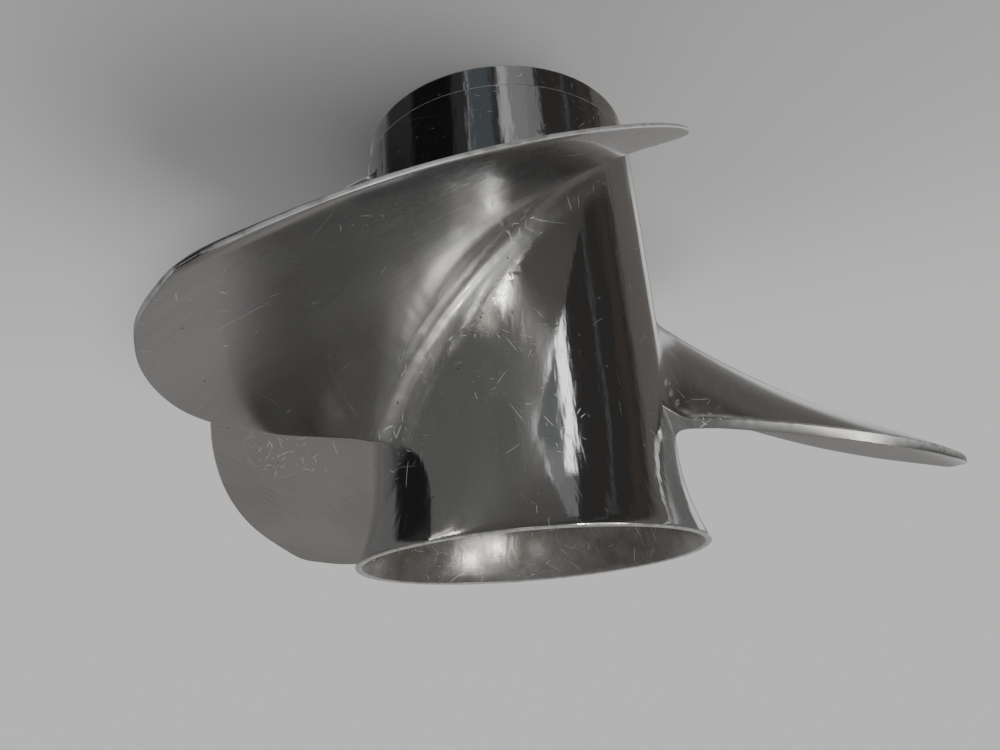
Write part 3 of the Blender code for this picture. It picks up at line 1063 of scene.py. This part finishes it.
def make_polishing():
    tree, start, end = finish_group(
        "polishing marks",
        [("Place", "NodeSocketVector", None), ("Skin", "NodeSocketVector", None)],
        [
            ("Hairlines", "NodeSocketFloat"),
            ("Waves", "NodeSocketFloat"),
            ("Specks", "NodeSocketFloat"),
        ],
    )
    place = start.outputs["Place"]
    skin = start.outputs["Skin"]
    fine = stretched(tree, skin, (1 / HAIRLINE_LENGTH, 1 / HAIRLINE_WIDTH, 1.0))
    feed(tree, end.inputs["Hairlines"], cloud(tree, fine, detail=3.0, roughness=0.7))
    slow = stretched(tree, place, (1 / WAVE_ROUND, 1 / WAVE_ROUND, 1 / WAVE_ALONG))
    feed(tree, end.inputs["Waves"], cloud(tree, slow, detail=3.5))
    pits = node(tree, "ShaderNodeTexVoronoi", voronoi_dimensions="2D", feature="F1")
    feed(tree, pits.inputs["Vector"], skin)
    pits.inputs["Scale"].default_value = 1 / SPECK_SPACING
    near = between(tree, pits.outputs["Distance"], *SPECK_SIZE, 1.0, 0.0)
    picked = node(tree, "ShaderNodeSeparateColor")
    feed(tree, picked.inputs[0], pits.outputs["Color"])
    few = reckon(tree, "GREATER_THAN", picked.outputs[0], SPECK_RARITY)
    feed(tree, end.inputs["Specks"], reckon(tree, "MULTIPLY", near, few))
    return tree


polishing = make_polishing()
print("polishing marks:", len(polishing.nodes), "nodes")

# %% [markdown]
# The steel itself is one Principled shader. The barrel is a mirror, the blades are satin, and
# the inside is left as cast and stained by exhaust. The values on the points choose between
# them, so the border in a fillet is as soft as the polisher left it. First come the numbers:
# how rough each place is, its colours, and how high its marks stand, in metres.

# %% Steel values
BARREL_ROUGHNESS = 0.08
BLADE_ROUGHNESS = 0.13
FILLET_ROUGHNESS = 0.34
TIP_HAZE = 0.13
TIP_HAZE_REACH = (0.085, 0.150)
KNOCKED_GAIN = 1.0
GLOSS_SHARE = 0.5
FILLET_GLOSS = 0.5
GLOSS_ROUGHNESS = 0.06
INSIDE_ROUGHNESS = 0.27
EDGE_ROUGHNESS = 0.32
LEAST_ROUGHNESS = 0.03
SCRATCH_ROUGHNESS = 0.25
HAZE_ROUGHNESS = 0.16
HAIRLINE_ROUGHNESS = 0.10
SCRATCH_DULLNESS = 0.6
FRAYED_DULLNESS = (0.15, 0.45)
# how widely the scratches are spread, from few to many
BARREL_SPREAD = 0.38
BLADE_SPREAD = 0.28
ROUGH_PLACE_SPREAD = 0.22
KNOCKED_SPREAD = 0.55
# the scales of the noises, in cells to the metre
HAZE_SCALE = 38.0
LUMP_SCALE = 110.0
MOTTLE_SCALE = 130.0
TONE_SCALE = 24.0
FRAYED_SCALE = 330.0
BRUSHED_TONE = 0.9
# between which values of a noise its effect sets in
BLADE_STAIN_RANGE = (0.40, 0.75)
INSIDE_STAIN_RANGE = (0.42, 0.68)
FRAYED_RANGE = (0.30, 0.62)
BARREL_COLOUR = (0.595, 0.600, 0.602, 1)
BLADE_COLOUR = (0.620, 0.617, 0.612, 1)
BLADE_STAIN_COLOUR = (0.535, 0.530, 0.522, 1)
INSIDE_COLOUR = (0.56, 0.555, 0.545, 1)
STAIN_COLOUR = (0.44, 0.425, 0.405, 1)
# near white on worn edges and on scratches: painted highlights that stand in for their glints
EDGE_HIGHLIGHT_COLOUR = (0.82, 0.82, 0.815, 1)
SCRATCH_GLINT_COLOUR = (0.84, 0.84, 0.83, 1)
SPECK_COLOUR = (0.05, 0.045, 0.04, 1)
WAVE_HEIGHT = 0.00030
BLADE_WAVE_HEIGHT = 0.00006
FILLET_LUMP_HEIGHT = 0.00040
MOTTLE_HEIGHT = 0.00009
HAIRLINE_HEIGHT = 0.000010
BLADE_HAIRLINE_HEIGHT = 0.000004
SCRATCH_DEPTH = 0.000015
print("steel values ready")

# %% [markdown]
# The three functions below build the roughness, the height and then the whole finish. A torn
# groove or edge scatters light as a dull surface does, so the metallic value falls there, and
# its colour is painted near white: a painted highlight that stands in for its glint. A thin
# sharp coat over the haze lets a small lamp keep its hard white core.

# %% Steel
def kept_value(tree, name):
    return node(tree, "ShaderNodeAttribute", attribute_name=name).outputs["Fac"]


def steel_roughness(tree, place, marks, zones):
    haze = cloud(tree, place, scale=HAZE_SCALE, detail=5.0, roughness=0.62)
    cloudy = centred(tree, haze, HAZE_ROUGHNESS)
    lines = centred(tree, marks.outputs["Hairlines"], HAIRLINE_ROUGHNESS)
    marked = reckon(tree, "ADD", lines, cloudy)
    barrel = reckon(tree, "ADD", BARREL_ROUGHNESS, marked)
    tip = between(tree, from_shaft(tree, place)[0], *TIP_HAZE_REACH)
    satin = reckon(tree, "ADD", BLADE_ROUGHNESS, marked)
    satin = reckon(tree, "MULTIPLY_ADD", tip, TIP_HAZE, satin)
    rough = blend_values(tree, zones["on_blade"], barrel, satin)
    rough = blend_values(tree, zones["in_fillet"], rough, FILLET_ROUGHNESS)
    rough = blend_values(tree, zones["inside"], rough, INSIDE_ROUGHNESS)
    return blend_values(tree, zones["worn_edge_highlight"], rough, EDGE_ROUGHNESS)


def steel_height(tree, place, marks, cuts, zones, mottle):
    wave_size = blend_values(tree, zones["on_blade"], WAVE_HEIGHT, BLADE_WAVE_HEIGHT)
    height = reckon(tree, "MULTIPLY", marks.outputs["Waves"], wave_size)
    lumps = cloud(tree, place, scale=LUMP_SCALE, detail=1.0)
    lumps = reckon(tree, "MULTIPLY", lumps, zones["in_fillet"])
    height = reckon(tree, "MULTIPLY_ADD", lumps, FILLET_LUMP_HEIGHT, height)
    cast = reckon(tree, "MULTIPLY", mottle, zones["inside"])
    height = reckon(tree, "MULTIPLY_ADD", cast, MOTTLE_HEIGHT, height)
    height = reckon(tree, "MULTIPLY_ADD", cuts, -SCRATCH_DEPTH, height)
    line_size = blend_values(tree, zones["on_blade"], HAIRLINE_HEIGHT, BLADE_HAIRLINE_HEIGHT)
    return reckon(tree, "MULTIPLY_ADD", marks.outputs["Hairlines"], line_size, height)


def make_steel():
    material, tree, shader = new_material("stainless_steel")
    place = node(tree, "ShaderNodeTexCoord").outputs["Object"]
    skin = node(tree, "ShaderNodeUVMap", uv_map="skin").outputs["UV"]
    zones = {name: kept_value(tree, name) for name in ZONES}
    marks = use_group(tree, polishing, Place=place, Skin=skin)
    spread = blend_values(tree, zones["on_blade"], BARREL_SPREAD, BLADE_SPREAD)
    spread = reckon(tree, "MULTIPLY_ADD", zones["inside"], ROUGH_PLACE_SPREAD, spread)
    spread = reckon(tree, "MULTIPLY_ADD", zones["in_fillet"], ROUGH_PLACE_SPREAD, spread)
    spread = reckon(tree, "MULTIPLY_ADD", zones["knocked"], KNOCKED_SPREAD, spread)
    cuts = use_group(tree, scratches, Place=skin, Spread=spread).outputs["Mask"]
    stronger = reckon(tree, "MULTIPLY_ADD", zones["knocked"], KNOCKED_GAIN, 1.0)
    cuts = reckon(tree, "MINIMUM", reckon(tree, "MULTIPLY", cuts, stronger), 1.0)
    specks = marks.outputs["Specks"]
    mottle = cloud(tree, place, scale=MOTTLE_SCALE, detail=4.0, roughness=0.6)

    brushed = centred(tree, marks.outputs["Hairlines"], BRUSHED_TONE)
    brushed = reckon(tree, "ADD", brushed, cloud(tree, place, scale=TONE_SCALE, detail=4.0))
    blade_tone = between(tree, brushed, *BLADE_STAIN_RANGE)
    blade_colour = blend_colours(tree, blade_tone, BLADE_COLOUR, BLADE_STAIN_COLOUR)
    outer = blend_colours(tree, zones["on_blade"], BARREL_COLOUR, blade_colour)
    stained = between(tree, mottle, *INSIDE_STAIN_RANGE)
    cast = blend_colours(tree, stained, INSIDE_COLOUR, STAIN_COLOUR)
    colour = blend_colours(tree, zones["inside"], outer, cast)
    # painted highlight: worn edges and rims painted near white
    colour = blend_colours(tree, zones["worn_edge_highlight"], colour, EDGE_HIGHLIGHT_COLOUR)
    colour = blend_colours(tree, specks, colour, SPECK_COLOUR)
    # painted highlight: scratches painted near white, standing in for their glints
    feed(tree, shader.inputs["Base Color"], blend_colours(tree, cuts, colour, SCRATCH_GLINT_COLOUR))

    # less metallic on frayed edges and scratches, so that their painted highlight shows, and on
    # the specks of dirt
    broken = cloud(tree, place, scale=FRAYED_SCALE, detail=2.0)
    frayed = between(tree, broken, *FRAYED_RANGE, *FRAYED_DULLNESS)
    frayed = reckon(tree, "MULTIPLY", frayed, zones["worn_edge_highlight"])
    torn = reckon(tree, "MULTIPLY", cuts, SCRATCH_DULLNESS)
    dull = reckon(tree, "MAXIMUM", reckon(tree, "MAXIMUM", torn, frayed), specks)
    feed(tree, shader.inputs["Metallic"], reckon(tree, "SUBTRACT", 1.0, dull))

    rough = steel_roughness(tree, place, marks, zones)
    rough = reckon(tree, "MULTIPLY_ADD", cuts, SCRATCH_ROUGHNESS, rough)
    feed(tree, shader.inputs["Roughness"], reckon(tree, "MAXIMUM", rough, LEAST_ROUGHNESS))
    outside = reckon(tree, "SUBTRACT", 1.0, zones["inside"])
    gloss = reckon(tree, "MULTIPLY", outside, GLOSS_SHARE)
    gloss = reckon(tree, "MULTIPLY_ADD", zones["in_fillet"], FILLET_GLOSS, gloss)
    feed(tree, shader.inputs["Coat Weight"], gloss)
    shader.inputs["Coat Roughness"].default_value = GLOSS_ROUGHNESS
    raise_surface(tree, shader, steel_height(tree, place, marks, cuts, zones, mottle))
    return material


steel = make_steel()
casting.data.materials.clear()
casting.data.materials.append(steel)
print("steel:", len(steel.node_tree.nodes), "nodes")

# %% [markdown]
# The cushion is a rubber ring moulded round the sleeve and pressed into the inner hub. Rubber
# shows a mould's rounded corners and a shallow groove in each end face, so it is turned from
# a profile with both. Its finish is fine grain, a soft bloom, and dust in soft patches.

# %% Rubber cushion
CUSHION_ROUNDING = 0.0022
CUSHION_GROOVE = 0.0012
# the groove's outline: distance from its middle, and share of its depth
GROOVE_OUTLINE = ((-0.0016, 0.0), (-0.0009, 0.8), (0.0, 1.0), (0.0009, 0.8), (0.0016, 0.0))
BORE_ROUNDING = 0.0005
FIT_GAP = 0.0003
RUBBER_COLOUR = (0.020, 0.020, 0.021, 1)
BLOOM_COLOUR = (0.060, 0.058, 0.055, 1)
BLOOM_SCALE = 160.0
DUST_RANGE = (0.45, 0.72)
BLOOM_RANGE = (0.3, 0.7)
GRAIN_SCALE = 1900.0
RUBBER_ROUGHNESS = (0.52, 0.78)
GRAIN_HEIGHT = 0.00004


def cushion_profile():
    low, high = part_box("rubber_cushion")
    outer = high[0]
    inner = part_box("spline_sleeve")[1][0] + FIT_GAP
    front, aft = low[2], high[2]
    middle = (outer + inner) / 2
    profile = []
    for height, into, turns in ((aft, -1, (90, 0)), (front, 1, (0, -90))):
        centre = (outer - CUSHION_ROUNDING, height + into * CUSHION_ROUNDING)
        corner = corner_arc(centre, CUSHION_ROUNDING, *turns)
        groove = [
            (middle + aside, height + into * CUSHION_GROOVE * depth)
            for aside, depth in GROOVE_OUTLINE
        ]
        profile += groove + corner if into < 0 else corner + groove[::-1]
    bore = inner + BORE_ROUNDING
    profile += corner_arc((bore, front + BORE_ROUNDING), BORE_ROUNDING, -90, -180)
    profile += corner_arc((bore, aft - BORE_ROUNDING), BORE_ROUNDING, 180, 90)
    return profile


def make_rubber():
    material, tree, shader = new_material("black_rubber")
    place = node(tree, "ShaderNodeTexCoord").outputs["Object"]
    bloom = cloud(tree, place, scale=BLOOM_SCALE, detail=5.0, roughness=0.65)
    dusty = between(tree, bloom, *DUST_RANGE)
    colour = blend_colours(tree, dusty, RUBBER_COLOUR, BLOOM_COLOUR)
    feed(tree, shader.inputs["Base Color"], colour)
    rough = between(tree, bloom, *BLOOM_RANGE, *RUBBER_ROUGHNESS)
    feed(tree, shader.inputs["Roughness"], rough)
    grain = cloud(tree, place, scale=GRAIN_SCALE, detail=2.0)
    raise_surface(tree, shader, grain, GRAIN_HEIGHT)
    return material


cushion = turned("moulded_cushion", cushion_profile(), BARREL_SIDES // 2)
smooth(cushion)
cushion.data.materials.append(make_rubber())
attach(cushion, BODY)
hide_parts("rubber_cushion")
print("cushion:", triangles(cushion), "triangles")

# %% [markdown]
# The spline sleeve keeps its imported solid, because its teeth are cut square and sharp on the
# real one too. Its brass is dull, darker towards the floor of each tooth gap, and turned, so
# fine rings run round it. The same scratches as on the steel mark its proud end.

# %% Spline sleeve
BRASS_COLOUR = (0.50, 0.37, 0.17, 1)
TARNISH_AND_GAP_COLOUR = (0.20, 0.13, 0.06, 1)
BRASS_SCRATCH_COLOUR = (0.7, 0.6, 0.4, 1)
BRASS_ROUGHNESS = 0.36
TARNISH_AND_GAP_ROUGHNESS = 0.22
RING_ROUGHNESS = 0.12
BRASS_SPREAD = 0.6
BRASS_STAIN_SCALE = 210.0
BRASS_STAIN_RANGE = (0.45, 0.7)
TURNED_RING = 0.0005
RING_WAVES = 20.0
RING_HEIGHT = 0.00002
# the tooth gaps, as shares of the sleeve's radius, and how much darker their floor is made
TOOTH_GAP_REACH = (0.72, 0.86)
TOOTH_GAP_DARKNESS = 0.7
STAIN_DARKNESS = 0.8


def make_brass():
    material, tree, shader = new_material("dull_brass")
    place = node(tree, "ShaderNodeTexCoord").outputs["Object"]
    stains = cloud(tree, place, scale=BRASS_STAIN_SCALE, detail=4.0, roughness=0.6)
    turning = stretched(tree, place, (RING_WAVES, RING_WAVES, 1 / TURNED_RING))
    rings = cloud(tree, turning, detail=2.0)
    reach, flat = from_shaft(tree, place)
    cuts = use_group(tree, scratches, Place=flat, Spread=BRASS_SPREAD).outputs["Mask"]
    gap_floor, tooth_top = (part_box("spline_sleeve")[1][0] * share for share in TOOTH_GAP_REACH)
    # darker towards the floor of each tooth gap, set by the distance from the shaft
    darker_in_gaps = between(tree, reach, gap_floor, tooth_top, TOOTH_GAP_DARKNESS, 0.0)
    stained = between(tree, stains, *BRASS_STAIN_RANGE, 0.0, STAIN_DARKNESS)
    dark = reckon(tree, "MAXIMUM", darker_in_gaps, stained)
    colour = blend_colours(tree, dark, BRASS_COLOUR, TARNISH_AND_GAP_COLOUR)
    colour = blend_colours(tree, cuts, colour, BRASS_SCRATCH_COLOUR)
    feed(tree, shader.inputs["Base Color"], colour)
    shader.inputs["Metallic"].default_value = 1.0
    rough = reckon(tree, "MULTIPLY_ADD", dark, TARNISH_AND_GAP_ROUGHNESS, BRASS_ROUGHNESS)
    rough = reckon(tree, "MULTIPLY_ADD", rings, RING_ROUGHNESS, rough)
    feed(tree, shader.inputs["Roughness"], rough)
    raise_surface(tree, shader, rings, RING_HEIGHT)
    return material


brass = make_brass()
sleeve = frame["nodes"]["spline_sleeve"]
for holder in sleeve.material_slots:
    holder.material = brass
print("sleeve slots:", len(sleeve.material_slots))

# %% [markdown]
# A polished thing is lit by its surroundings more than by lamps. The studio round it is a
# world whose soft boards, cards and boxes are placed by direction: the bearing is counted from
# the first blade's side towards +X, and the height from the horizon. Only reflections see
# them. Real area lamps would do too, but each would also have to light the scene.

# %% Studio panels
STUDIO_TONE = (0.165, 0.160, 0.155, 1)
# each panel's name, bearing, half width, lowest, highest and softness in degrees, and colour
STUDIO_PANELS = (
    ("ceiling", 140, 62, 52, 90, 25, (0.25, 0.238, 0.230)),
    ("front ceiling", -25, 36, 44, 80, 14, (0.215, 0.215, 0.210)),
    ("dark front wall", 0, 104, -60, 0, 18, (0.042, 0.040, 0.038)),
    ("back sheet", 180, 26, -90, 30, 16, (0.25, 0.245, 0.24)),
    ("strip on the back sheet", -149, 3, -30, 4, 9, (0.72, 0.72, 0.72)),
    ("dim left board", -118, 12, -60, 20, 14, (0.14, 0.13, 0.12)),
    ("brown board", -87, 2, -60, 0, 5, (0.065, 0.052, 0.045)),
    ("thin strip", -65, 0.6, -60, 0, 2, (0.085, 0.085, 0.085)),
    ("high soft box", -45, 8, 14, 22, 9, (1.15, 1.15, 1.15)),
    ("warm strip", -51, 0.8, 28, 37, 2.5, (2.0, 1.84, 1.64)),
    ("warm card", 4, 3, 22, 27, 6, (0.85, 0.82, 0.78)),
    ("dark right board", 90, 28, -4, 44, 14, (0.115, 0.111, 0.107)),
    ("low grey board", -20, 9, -80, -26, 9, (0.25, 0.252, 0.25)),
    ("top of the low board", -20, 9, -20, -6, 9, (0.17, 0.173, 0.176)),
    ("end of the low board", -33, 4, -62, -38, 4, (0.21, 0.212, 0.21)),
    ("pale strip", -11, 2, -80, -24, 4, (0.44, 0.45, 0.44)),
    ("low bright strip", -35, 1.0, -31, -12, 4.5, (2.50, 2.50, 2.50)),
    ("cool card", 11, 7, -62, -8, 6, (0.085, 0.096, 0.104)),
    ("black card", 55, 17, -64, -34, 7, (0.010, 0.010, 0.011)),
    ("pale slit", 21, 0.4, -64, -8, 1.6, (0.26, 0.27, 0.27)),
    ("upper black card", 94, 12, -34, -18, 8, (0.018, 0.018, 0.019)),
    ("grey side", 132, 16, -64, -14, 10, (0.15, 0.148, 0.145)),
)


def panel_mask(tree, bearing, height, panel):
    """Where a panel is seen, with soft sides that also work across half a turn."""
    centre, half, lowest, highest, softness = panel[1:6]
    away = reckon(tree, "ABSOLUTE", reckon(tree, "SUBTRACT", bearing, centre))
    away = reckon(tree, "MINIMUM", away, reckon(tree, "SUBTRACT", 360.0, away))
    sideways = between(tree, away, half, half + softness, 1.0, 0.0)
    above = between(tree, height, lowest - softness, lowest)
    below = between(tree, height, highest, highest + softness, 1.0, 0.0)
    return reckon(tree, "MULTIPLY", sideways, reckon(tree, "MULTIPLY", above, below))


def studio_colour(tree):
    direction = node(tree, "ShaderNodeTexCoord").outputs["Generated"]
    parts = node(tree, "ShaderNodeSeparateXYZ")
    feed(tree, parts.inputs[0], direction)
    across, ahead, up = parts.outputs
    forwards = reckon(tree, "MULTIPLY", ahead, -1.0)
    bearing = reckon(tree, "DEGREES", reckon(tree, "ARCTAN2", across, forwards))
    height = reckon(tree, "DEGREES", reckon(tree, "ARCSINE", up))
    colour = STUDIO_TONE
    for panel in STUDIO_PANELS:
        mask = panel_mask(tree, bearing, height, panel)
        colour = blend_colours(tree, mask, colour, (*panel[6], 1))
    return colour


print("studio panels:", len(STUDIO_PANELS))

# %% [markdown]
# A plain pale floor and one big soft lamp light the scene, and the floor is shaded a little
# on the camera's side. Neither shows in the steel, so the panels alone draw its reflections.
# Two small bare lamps are the exception: only the steel shows them, as hard white glints. A
# backdrop could hide the horizon, but a world in the floor's own tone does it from any side.

# %% Floor, lamps and world
FLOOR_SIZE = 40.0
FLOOR_COLOUR = (0.72, 0.72, 0.715, 1)
FLOOR_ROUGHNESS = 0.9
FLOOR_SHADE = (0.36, 0.36, 0.355, 1)
# where along Y the shade gives way to the plain floor, and how far from the shaft it ends
FLOOR_SHADE_REACH = (-0.42, 0.28)
FLOOR_SHADE_END = (0.55, 1.25)
WORLD_LIGHT = 0.52
LAMP_STRENGTH = 1.5
LAMP_TURN = (28, -34, 0)
LAMP_SPREAD = 26
GLINT_RADIUS = 0.025
GLINT_COLOUR = (1.0, 0.97, 0.93)
# each small lamp that the steel mirrors as a white spot: its power and place
GLINTS = (
    (7.0, (-0.63, -1.05, 0.69)),
    (5.0, (-0.97, -0.63, 0.78)),
)


def make_floor():
    nothing_selected()
    bpy.ops.mesh.primitive_plane_add(size=FLOOR_SIZE)
    piece = named("floor")
    material, tree, shader = new_material("pale_floor")
    place = node(tree, "ShaderNodeTexCoord").outputs["Object"]
    parts = node(tree, "ShaderNodeSeparateXYZ")
    feed(tree, parts.inputs[0], place)
    behind = between(tree, parts.outputs[1], *FLOOR_SHADE_REACH)
    reach = from_shaft(tree, place)[0]
    away = reckon(tree, "MAXIMUM", behind, between(tree, reach, *FLOOR_SHADE_END))
    feed(tree, shader.inputs["Base Color"], blend_colours(tree, away, FLOOR_SHADE, FLOOR_COLOUR))
    shader.inputs["Roughness"].default_value = FLOOR_ROUGHNESS
    shader.inputs["Specular IOR Level"].default_value = 0.0
    piece.data.materials.append(material)
    piece.visible_glossy = False
    return piece


def add_lamp(name, kind, power):
    data = bpy.data.lights.new(name, kind)
    data.energy = power
    made = bpy.data.objects.new(name, data)
    bpy.context.scene.collection.objects.link(made)
    return made


def make_lamp():
    made = add_lamp("soft lamp", "SUN", LAMP_STRENGTH)
    made.data.angle = math.radians(LAMP_SPREAD)
    made.rotation_euler = [math.radians(turn) for turn in LAMP_TURN]
    made.visible_glossy = False
    return made


def make_glint(power, place):
    """A small bare lamp that polished steel mirrors as a white spot."""
    made = add_lamp("glint lamp", "POINT", power)
    made.data.shadow_soft_size = GLINT_RADIUS
    made.data.color = GLINT_COLOUR
    made.location = place
    made.visible_diffuse = False
    return made


def floor_tone(lamp):
    """The tone that the lit floor has far away from the propeller."""
    down = (lamp.rotation_euler.to_matrix() @ Vector((0, 0, 1))).z
    return FLOOR_COLOUR[0] * (WORLD_LIGHT + LAMP_STRENGTH * down / math.pi)


def make_world(tone):
    world = bpy.data.worlds.new("studio")
    bpy.context.scene.world = world
    world.use_nodes = True
    tree = world.node_tree
    # the camera sees the floor's tone, mirrors see the studio, and dull surfaces even light
    ray = node(tree, "ShaderNodeLightPath")
    even = (WORLD_LIGHT, WORLD_LIGHT, WORLD_LIGHT, 1)
    seen = blend_colours(tree, ray.outputs["Is Camera Ray"], even, (tone, tone, tone, 1))
    seen = blend_colours(tree, ray.outputs["Is Glossy Ray"], seen, studio_colour(tree))
    feed(tree, tree.nodes["Background"].inputs["Color"], seen)
    return world


floor = make_floor()
lamp = make_lamp()
glints = [make_glint(power, place) for power, place in GLINTS]
tone = floor_tone(lamp)
make_world(tone)
print("floor tone:", round(tone, 3), "glint lamps:", len(glints))
